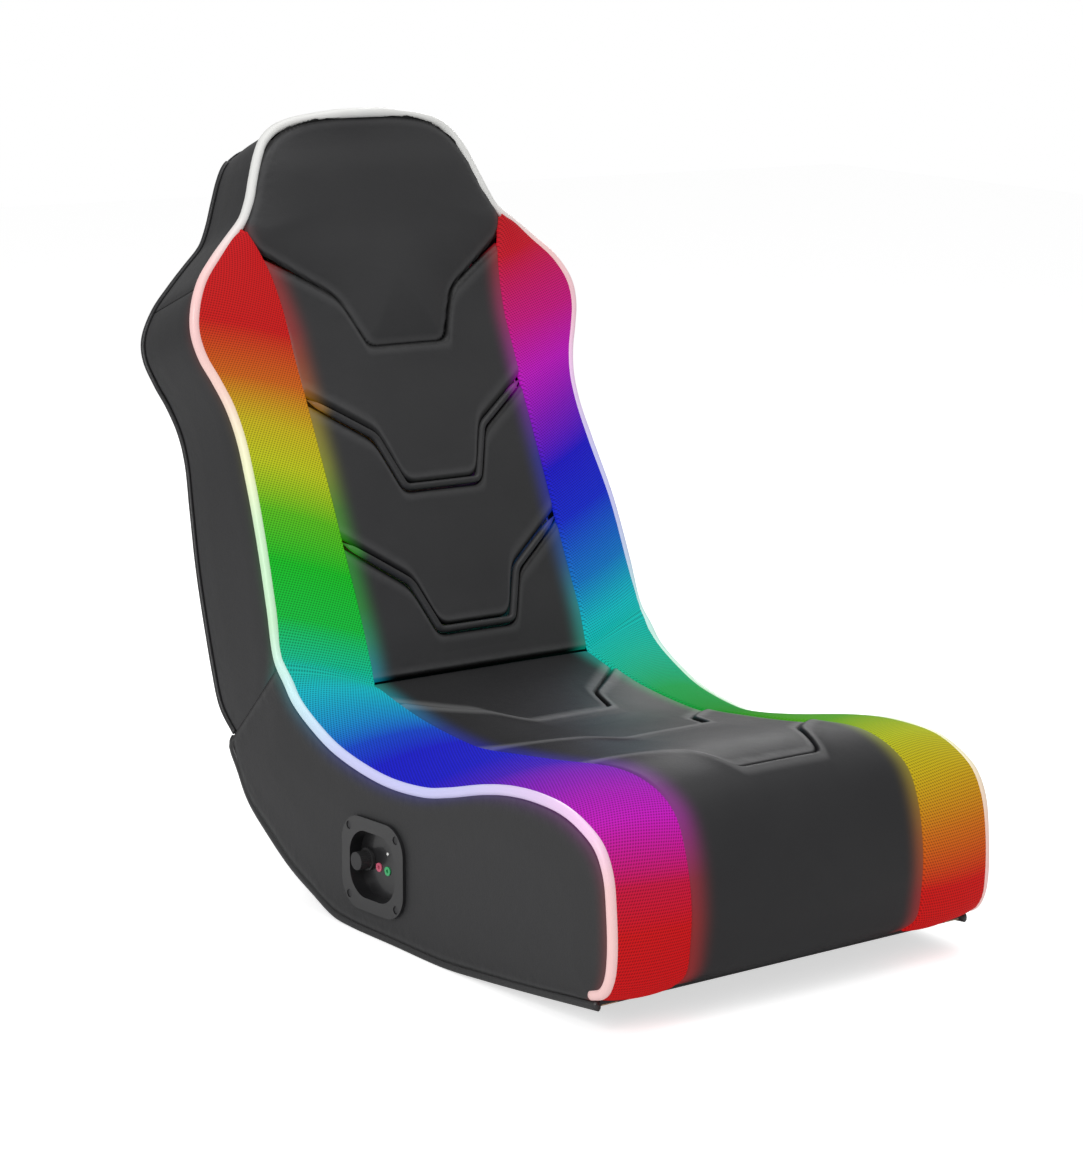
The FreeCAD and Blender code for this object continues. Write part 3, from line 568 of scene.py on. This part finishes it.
def strip_place(point):
    """Where a point of the piping lies along its strip, 0 to 2, and below 0 round the head."""
    if point.y > 122 or point.z > 245:
        return 1 - min((fold.inverted() @ point).z, head_height) / shoulder_height
    best = min(range(len(outer_seat)), key=lambda i: (outer_seat[i].yz - point.yz).length)
    return 1 + best / (len(outer_seat) - 1)


half_places = [strip_place(p) for p in piping_half]
piping_bm = swept(whole_path(piping_half), piping_radius, piping_radius, 14,
                  layers={"along_strip": half_places + half_places[-2::-1]})
piping = Finish("white_piping", roughness=0.35, emission_strength=0.42)
place = piping.attribute("along_strip")
lit_part = piping.smooth(place, -0.06, 0.1)
# Painted light of the strips: the cord is tinted with the nearby strip's colour and glows with it, and round
# the head it has a faint painted grey glow.
painted_strip_light = piping.mix(lit_part * 0.4, (0.72, 0.72, 0.7, 1), nearby_color(piping, place))
piping.set("Base Color", painted_strip_light)
piping.set("Emission Color", piping.mix(lit_part, (0.1, 0.1, 0.1, 1), painted_strip_light))
piping.set("Roughness", piping.smooth(piping.noise(600, 2), 0.3, 0.7, 0.3, 0.42))
cord = finished("light_piping", piping_bm, piping, None,
                ["seat_piping_left", "seat_piping_right", "back_piping"])
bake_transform(cord)

# Seat cover. Four padded panels of coated fabric on the middle of the seat. Each V seam is a step,
# where the panel in front stands higher and its rear edge rolls down to the one behind it.
seat_crown = side_view(300, (103, 221), (60, 209), (13, 198.5), (-52, 190), (-84, 188.5), (-147, 194),
                       (-207, 200), (-266, 208), (-298, 210.5), (-325, 208), (-352, 199), (-373, 184),
                       (-387, 155), (-395, 110), (-394, 72), (-388, 42), (-369, 26))
crown_lengths = travelled(seat_crown)
crown_length = crown_lengths[-1]
seat_corners = [[(141, 60), (71, 6), (49, -46)], [(141, -84), (70, -146), (52, -193)],
                [(142, -236), (72, -296), (49, -347)]]
seat_seam_half = 139.5
seat_half_rear, seat_half_growth = 138, 5.5
seat_pad, seat_sink = 8.5, 0.8
rear_fade, front_fade = 190, 90
step_up, step_up_reach = 3.0, 35
step_down, step_down_reach = 1.2, 40
high_roll, low_roll, strip_roll, fold_roll, toe_roll = 5, 4, 4, 5, 3
no_seam = 99


def between(value, low, high):
    """0 up to low, 1 from high, and a straight run from one to the other."""
    return min(max((value - low) / (high - low), 0), 1)


def rounded(corners, radius, steps):
    """A line through the corners, with a short curve in place of each."""
    points = [Vector(c) for c in corners]
    line = [points[0]]
    for before, corner, after in zip(points, points[1:], points[2:]):
        first = corner + (before - corner).normalized() * radius
        last = corner + (after - corner).normalized() * radius
        for step in range(steps + 1):
            t = step / steps
            line.append(first.lerp(corner, t).lerp(corner.lerp(last, t), t))
    return line + [points[-1]]


def half_v(corners, radius):
    """Half of a V seam, from the strip in to the middle of the chair."""
    return rounded(corners + [(0, corners[-1][1])], radius, 8)


def seam_at(line, x):
    """How far along the chair a V seam is, at a place across it."""
    x = abs(x)
    for p, q in zip(line, line[1:]):
        if p.x >= x >= q.x:
            return q.y + (p.y - q.y) * (x - q.x) / max(p.x - q.x, 1e-6)
    return line[0].y


def crown_place(y):
    """Distance along the crown at which it reaches y, on the seat's top."""
    for i, (p, q) in enumerate(zip(seat_crown, seat_crown[1:])):
        if p.y >= y >= q.y:
            return crown_lengths[i] + (q - p).length * (p.y - y) / max(p.y - q.y, 1e-6)
    return crown_length


def seat_panel(rear, front):
    def put(a, b):
        x = 2 * eased(a, 0.035, 0.16) - 1
        s0 = crown_place(seam_at(rear, x * seat_seam_half)) if rear else 0.0
        s1 = crown_place(seam_at(front, x * seat_seam_half)) if front else crown_length
        s = s0 + (s1 - s0) * eased(b, 0.06, 0.22)
        t = s / crown_length
        half = seat_half_rear + seat_half_growth * between(s, 60, 480)
        point = along(seat_crown, t)
        way = (along(seat_crown, t + 0.01) - along(seat_crown, t - 0.01)).normalized()
        normal = Vector((0, way.z, -way.y))
        to_side, to_rear, to_front = half * (1 - abs(x)), s - s0, s1 - s
        # Square to a slanted seam the distance is shorter than it is along the chair.
        slant = 1.0 - 0.28 * between(abs(x) * half, 45, 57)
        out = seat_pad * (1 - abs(x) ** 3) * min(1, s / rear_fade, 0.2 + (crown_length - s) / front_fade)
        out -= seat_sink + rolled(to_side, strip_roll) * 0.8
        if rear:
            out += step_up * math.exp(-to_rear / step_up_reach)
            out -= rolled(to_rear * slant, high_roll) * 1.6
        else:
            out -= rolled(to_rear, fold_roll)
        if front:
            out -= step_down * math.exp(-to_front / step_down_reach)
            out -= rolled(to_front * slant, low_roll)
        else:
            out -= rolled(to_front, toe_roll)
        seam = min(to_side + 19, to_rear * slant if rear else no_seam,
                   to_front * slant if front else no_seam)
        return Vector((x * half, point.y, point.z)) + normal * out, 1 + t, to_side * mm, seam * mm
    bm = cloth(120, 60 if front else 110, put, cover_layers)
    bmesh.ops.recalc_face_normals(bm, faces=bm.faces)
    return bm


seat_lines = [None] + [half_v(corners, 8) for corners in seat_corners] + [None]
for name, rear, front in zip(("rear", "upper", "middle", "front"), seat_lines, seat_lines[1:]):
    stands_for = ["seat_panel_" + name] + (["seat_foam"] if name == "front" else [])
    panel = finished("seat_cover_" + name, seat_panel(rear, front), seat_cover, "seat",
                     stands_for, thickness=1.6)

# Back cover. Three padded panels of coated fabric, sewn to two raised bands in V seams. The lowest
# one tucks in behind the seat.
seam_depth = side_view(120, (-17, -31), (-20, 10), (-18, 60), (-16, 120), (-14, 180), (-11.5, 240),
                       (-9.5, 300), (-8, 350), (-8, 400), (-8, 450))
head_corners = [(156, 424), (74, 365), (52, 308)]
upper_corners = [(139, 271), (64, 220), (43, 165)]
lower_corners = [(139, 121), (63, 66), (43, 15)]
back_half, back_foot = 137.5, -31
back_roll, deepest_roll = 4.5, 5.5
pad_at_foot, pad_growth, least_pad = 2.5, 4.5, 1.0
band_gap, band_ease = 9, 7
band_radius_across, band_radius_out = 3.9, 4.4
band_to_seam = 0.05


def depth_at(curve, z):
    """How far back a curve in the side view is, at a height."""
    return along(curve, (z - curve[0].z) / (curve[-1].z - curve[0].z)).y


def lowered(corners, distance):
    """A V line moved down and outwards by a distance, square to each of its runs."""
    points = [Vector(c) for c in corners] + [Vector((-corners[-1][0], corners[-1][1]))]
    moved = []
    for i in range(len(corners)):
        ahead = (points[i + 1] - points[i]).normalized()
        behind = (points[i] - points[i - 1]).normalized() if i else ahead
        square = Vector((-(behind.y + ahead.y), behind.x + ahead.x))
        square = square / (1 + behind.dot(ahead)) * distance
        moved.append((points[i].x + square.x, points[i].y + square.y))
    x0, z0 = moved[0]
    slope = (corners[0][1] - corners[1][1]) / (corners[0][0] - corners[1][0])
    moved[0] = (corners[0][0], z0 + (corners[0][0] - x0) * slope)
    return moved


def back_pad(x, z):
    """How far the back's padding stands out, at x from -1 to 1 across it."""
    return (pad_at_foot + pad_growth * between(z, 20, 250)) * (1 - x * x)


def back_panel(top, low):
    top_line, low_line = half_v(top, 11), half_v(low, 11) if low else None

    def put(a, b):
        x = 2 * eased(a, 0.035, 0.16) - 1
        z1 = seam_at(top_line, x * back_half)
        z0 = seam_at(low_line, x * back_half) if low else back_foot
        z = z0 + (z1 - z0) * eased(b, 0.05, 0.2)
        half = back_half + max(z - 330, 0) ** 1.4 * 0.028
        slant = 1.0 - 0.4 * between(abs(x) * half, 42, 54)
        to_top, to_low = (z1 - z) * slant, (z - z0) * (slant if low else 1.0)
        to_side = half * (1 - abs(x))
        roll = sum(rolled(distance, back_roll) for distance in (to_side, to_top, to_low))
        y = depth_at(seam_depth, z) - back_pad(x, z) - least_pad + min(roll, deepest_roll)
        seam = min(to_side + 9, to_top, to_low)
        return Vector((x * half, y, z)), 1 - z / shoulder_height, to_side * mm, seam * mm
    bm = cloth(120, 60, put, cover_layers)
    bmesh.ops.recalc_face_normals(bm, faces=bm.faces)
    return bm


for name, top, low in (("upper", lowered(head_corners, -2.5), upper_corners),
                       ("middle", lowered(upper_corners, band_gap), lower_corners),
                       ("lower", lowered(lower_corners, band_gap), None)):
    panel = finished("back_cover_" + name, back_panel(top, low), black_cover,
                     "backrest" if low else None, ["back_panel_" + name], thickness=1.6,
                     to=leaned)
    if not low:
        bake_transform(panel)

for name, corners in (("upper", upper_corners), ("lower", lower_corners)):
    half_line = lowered(corners, band_gap / 2)
    band_line = rounded(half_line + [(-x, z) for x, z in half_line[::-1]], band_ease, 6)
    band_path = [Vector((p.x, depth_at(seam_depth, p.y) + 0.3 - back_pad(p.x / back_half, p.y), p.y))
                 for p in band_line]
    band = swept(band_path, band_radius_across, band_radius_out, 14, Vector((0, -1, 0)),
                 {"along_strip": [1 - p.z / shoulder_height for p in band_path],
                  "to_seam": [band_to_seam] * len(band_path),
                  "to_strip": [(138 - abs(p.x)) * mm for p in band_path]})
    finished("back_band_" + name + "_strip", band, black_cover, "backrest",
             ["back_band_" + name], rounds=1, to=leaned)

# Head pad. A plump cushion of coated fabric over foam, held by the piping round the head, with its
# foot ending in a V between the shoulders.
head_outline = smoothed([(36, 0, 309), (44, 0, 311), (50.5, 0, 316), (55, 0, 325), (64, 0, 345), (71, 0, 360),
                         (80, 0, 371), (100, 0, 385), (128, 0, 404.5), (152, 0, 422), (160, 0, 434),
                         (161, 0, 448), (155, 0, 459), (146, 0, 476), (136, 0, 500), (126, 0, 519),
                         (115, 0, 531), (100, 0, 541), (82, 0, 547.5), (60, 0, 551), (28, 0, 553)], 240)
pipe_depth = side_view(80, (-8, 300), (-8, 360), (-6, 410), (-5, 440), (-7, 470), (-10, 500), (-13, 530),
                       (-18, 545), (-25, 553))
head_foot, head_top = 309, 553
foot_half, top_half = 36, 28
head_swell, head_reach = 15, 26
foot_swell, foot_reach = 2.5, 60
head_sink, head_roll = 2, 4.5
strip_x, strip_top = 166, 446


def half_at(z):
    for p, q in zip(head_outline, head_outline[1:]):
        if p.z <= z <= q.z:
            return p.x + (q.x - p.x) * (z - p.z) / max(q.z - p.z, 1e-6)
    return head_outline[-1].x if z > 500 else head_outline[0].x


def head_edge(x, z):
    """Shortest distance from a point of the pad to its outline."""
    nearest = min((Vector((abs(x), z)) - p.xz).length for p in head_outline[::3])
    to_foot = z - head_foot if abs(x) < foot_half else nearest
    to_top = head_top - z if abs(x) < top_half else nearest
    return min(nearest, max(to_foot, 0), max(to_top, 0))


def head_put(a, b):
    z = head_foot + (head_top - head_foot) * eased(b, 0.05, 0.22)
    x = (2 * eased(a, 0.06, 0.2) - 1) * half_at(z)
    edge = head_edge(x, z)
    swell = head_swell * (1 - math.exp(-edge / head_reach))
    foot = foot_swell * math.exp(-max(z - head_foot, 0) / foot_reach)
    y = depth_at(pipe_depth, z) - swell - foot + rolled(edge, head_roll) * 0.75 - head_sink
    to_strip = max(0, strip_x - abs(x)) + max(0, z - strip_top) + 8
    return Vector((x, y, z)), 0.0, to_strip * mm, edge * mm


head = cloth(90, 110, head_put, cover_layers)
bmesh.ops.recalc_face_normals(head, faces=head.faces)
head_pad = finished("head_pad", head, black_cover, "backrest", ["head_panel", "back_foam"],
                    thickness=1.8, to=leaned)

# Boxing round the back. A band of coated fabric from the piping to the rear welt, in three lengths:
# one up each side and one over the head, seamed at the shoulders.
outline_half = smoothed([(229.5, 0, -44), (229.5, 0, 0)] + [(x, 0, z) for x, y, z in back_edge[1:]], 320)
rear_depth = side_view(120, (110, -47), (124, -20), (126.5, 20), (126, 110), (121, 190), (112, 260),
                       (107.5, 320), (108, 369), (99, 398), (89, 440), (79, 485), (72, 525), (70.5, 560))
pipe_front = side_view(160, (46, -47), (14, -20), (1, 4), (-3, 60), (-5, 128), (0, 200), (5.5, 268),
                       (7, 310), (2, 345), (-3.5, 380), (-3.5, 430), (-8, 475), (-12, 520), (-15, 546),
                       (-22, 556))
shoulder_seam = 392
boxing_sink, boxing_swell, boxing_reach, boxing_roll = 3.4, 3.6, 30, 2.5
side_run, over_head_run = 650, 700
look_ahead, flat_top = 0.004, 0.997


def outline_place(z):
    """The place, 0 to 1, where the half outline first reaches a height."""
    return next(i for i, p in enumerate(outline_half) if p.z >= z) / (len(outline_half) - 1)


def boxing(start, stop, side):
    """A length of boxing on one side, or over the head from one side to the other with side 0."""
    def put(a, b):
        if side:
            t = start + (stop - start) * eased(a, 0.02, 0.06)
            sign = side
            ends = min(a, 1 - a) * (stop - start) * side_run
        else:
            u = 2 * eased(a, 0.01, 0.03) - 1
            t = start + (stop - start) * (1 - abs(u))
            sign = 1 if u >= 0 else -1
            ends = min(a, 1 - a) * over_head_run
        point = along(outline_half, t)
        way = (along(outline_half, t + look_ahead) - along(outline_half, t - look_ahead)).normalized()
        normal = Vector((way.z, 0, -way.x)) if t <= flat_top else Vector((0, 0, 1))
        front = depth_at(pipe_front, point.z) + 1.0
        depth = depth_at(rear_depth, point.z) - 2.0 - front
        c = eased(b, 0.05, 0.18)
        seam = min(min(c, 1 - c) * depth, ends)
        out = boxing_swell * min(1, seam / boxing_reach) ** 0.5 - boxing_sink - rolled(seam, boxing_roll)
        return (Vector((sign * (point.x + normal.x * out), front + depth * c, point.z + normal.z * out)),
                1 - point.z / shoulder_height, (c * depth + piping_width) * mm, seam * mm)
    bm = cloth(150 if side else 170, 26, put, cover_layers)
    bmesh.ops.recalc_face_normals(bm, faces=bm.faces)
    return bm


for name, replaced, start, stop, side, flat, area in (
        ("back_side_cover_left", "back_side_left", -46, shoulder_seam, 1, (0.13, 0.46), 0.0535),
        ("back_side_cover_right", "back_side_right", -46, shoulder_seam, -1, (0.13, 0.46), 0.0535),
        ("head_boxing_cover", "head_boxing", shoulder_seam + 0.6, None, 0, (0.1, 0.6), 0.056)):
    bm = boxing(outline_place(start), outline_place(stop) if stop else 1.0, side)
    panel = finished(name, bm, side_cover, "backrest", [replaced], thickness=1.6, to=leaned)

# Rear cover and its welt. A single sheet of black cloth is stretched over the foam at the back,
# with a thin black piping sewn in where it meets the boxing.
rear_low, rear_top = -44, 555.5
rear_swell, rear_reach, rear_roll = 4, 60, 3
welt_radius = 2.7


def rear_put(a, b):
    z = rear_low + (rear_top - rear_low) * eased(b, 0.02, 0.1)
    p, q = next((p, q) for p, q in zip(outline_half, outline_half[1:]) if q.z >= z)
    width = p.x + (q.x - p.x) * (z - p.z) / max(q.z - p.z, 1e-6)
    x = 2 * eased(a, 0.03, 0.14) - 1
    edge = min((1 - abs(x)) * width, z + 46, (557 - z) * 1.5)
    y = depth_at(rear_depth, z) + rear_swell * min(1, edge / rear_reach) ** 0.6 - rolled(edge, rear_roll)
    return (Vector((x * max(width - 3, 5), y, z)),)


rear = cloth(60, 110, rear_put)
bmesh.ops.recalc_face_normals(rear, faces=rear.faces)
rear_cloth = finished("back_rear_cloth", rear, black_cloth, "backrest", ["back_rear_cover"],
                      thickness=1.5, to=leaned)
black_piping, _ = speckled("black_piping", 300, 2, (0.015, 0.015, 0.016), (0.03, 0.03, 0.031), 0.0002,
                           roughness=0.4)
welt_half = [Vector((p.x - 2.2, depth_at(rear_depth, p.z) - 0.5, p.z - (2 if p.z > 540 else 0)))
             for p in outline_half]
finished("back_rear_welt", swept(whole_path(welt_half), welt_radius, welt_radius, 10), black_piping,
         "backrest", ["back_welt"], to=leaned)

# Binding round the bottom edge of the seat. A doubled black tape a side, sewn over the edges of the
# side cover and the closing cloth.
binding_x = 227.5
binding_line = side_view(120, (214.5, 158.5), (219, 151), (205, 128), (187, 101), (150, 72), (112, 47.5),
                         (75, 30.5), (40, 16), (10, 12.4), (-60, 10), (-140, 7.2), (-200, 10), (-280, 15.5),
                         (-368, 22.5))
for side, sign in (("left", 1), ("right", -1)):
    tape = swept([Vector((sign * binding_x, p.y, p.z)) for p in binding_line], 3.2, 4.6, 12,
                 Vector((0, 0, 1)))
    finished("binding_" + side, tape, black_piping, "seat", ["bottom_binding"])

# Control panel, speakers and lamps. The bezel, housing, knob and speakers are moulded in black
# plastic, the sockets have coloured rings, and the amplifier's board is green.
gloss, _ = speckled("bezel_plastic", 700, 2, (0.011, 0.011, 0.012), (0.016, 0.016, 0.017), 0.00005,
                    roughness=0.34, coat_weight=0.25)
satin, _ = speckled("black_plastic", 1200, 2, (0.018, 0.018, 0.019), (0.03, 0.03, 0.031), 0.0001,
                    roughness=0.5)
green_board, _ = speckled("board_green", 300, 1, (0.02, 0.16, 0.06), (0.04, 0.28, 0.1), roughness=0.5)
lamp, _ = speckled("light_strip", 100, 1, (0.8, 0.8, 0.78), (0.9, 0.9, 0.88), roughness=0.4)
socket_rings = Finish("socket_rings", roughness=0.4)
depth = socket_rings.add("ShaderNodeSeparateXYZ", None, {0: socket_rings.place()}, output=1)
rear_socket = socket_rings.smooth(depth, -0.049, -0.0485)
socket_rings.set("Base Color", socket_rings.mix(rear_socket, (0.05, 0.45, 0.16, 1), (0.65, 0.12, 0.2, 1)))
dress(gloss, "control_bezel")
dress(satin, "control_housing", "volume_knob", "volume_potentiometer", "speaker_left", "speaker_right",
      "speaker_cones")
dress(socket_rings, "audio_sockets")
dress(green_board, "amplifier_board")
dress(lamp, "seat_light_strips", "back_light_strip_left", "back_light_strip_right", "power_lamp")
dress(black_steel, "bezel_screws")

# Floor, backdrop and soft studio light. The backdrop is white to the camera and dimmer as a light,
# and the floor glows a little to the camera so that only the chair's shadow shows on it.
world = bpy.data.worlds.new("studio")
bpy.context.scene.world = world
world.use_nodes = True
tree = world.node_tree
background = tree.nodes["Background"]
background.inputs["Color"].default_value = (1, 1, 1, 1)
rays = tree.nodes.new("ShaderNodeLightPath")
seen = tree.nodes.new("ShaderNodeMath")
seen.operation = "MAXIMUM"
level = tree.nodes.new("ShaderNodeMapRange")
level.inputs[3].default_value = 0.42
level.inputs[4].default_value = 1.0
tree.links.new(rays.outputs["Is Camera Ray"], seen.inputs[0])
tree.links.new(rays.outputs["Is Transmission Ray"], seen.inputs[1])
tree.links.new(seen.outputs[0], level.inputs[0])
tree.links.new(level.outputs[0], background.inputs["Strength"])

floor_finish = Finish("floor", base_color=(0.86, 0.86, 0.86, 1), roughness=0.9, specular_ior_level=0.1,
                      emission_color=(1, 1, 1, 1))
camera_ray = floor_finish.add("ShaderNodeLightPath")
floor_finish.set("Emission Strength", floor_finish.add("ShaderNodeMapRange", None, {0: camera_ray, 4: 0.62}))
floor_bm = bmesh.new()
bmesh.ops.create_grid(floor_bm, x_segments=2, y_segments=2, size=6)
floor_mesh = bpy.data.meshes.new("floor")
floor_bm.to_mesh(floor_mesh)
floor_bm.free()
floor_mesh.materials.append(floor_finish.material)
floor = bpy.data.objects.new("floor", floor_mesh)
bpy.context.scene.collection.objects.link(floor)


def softbox(name, place, aim, power, width, height):
    data = bpy.data.lights.new(name, "AREA")
    data.shape = "RECTANGLE"
    data.size, data.size_y = width, height
    data.energy = power
    light = bpy.data.objects.new(name, data)
    light.matrix_world = aimed(place, aim)
    bpy.context.scene.collection.objects.link(light)


softbox("overhead", (0.3, -0.2, 2.6), (0, 0, 0.3), 22, 1.8, 1.8)
softbox("right_key", (-2.2, -0.9, 1.5), (0, 0, 0.35), 30, 1.0, 1.6)
softbox("rear_rim", (1.8, 1.6, 1.8), (0, 0, 0.5), 22, 0.8, 1.6)
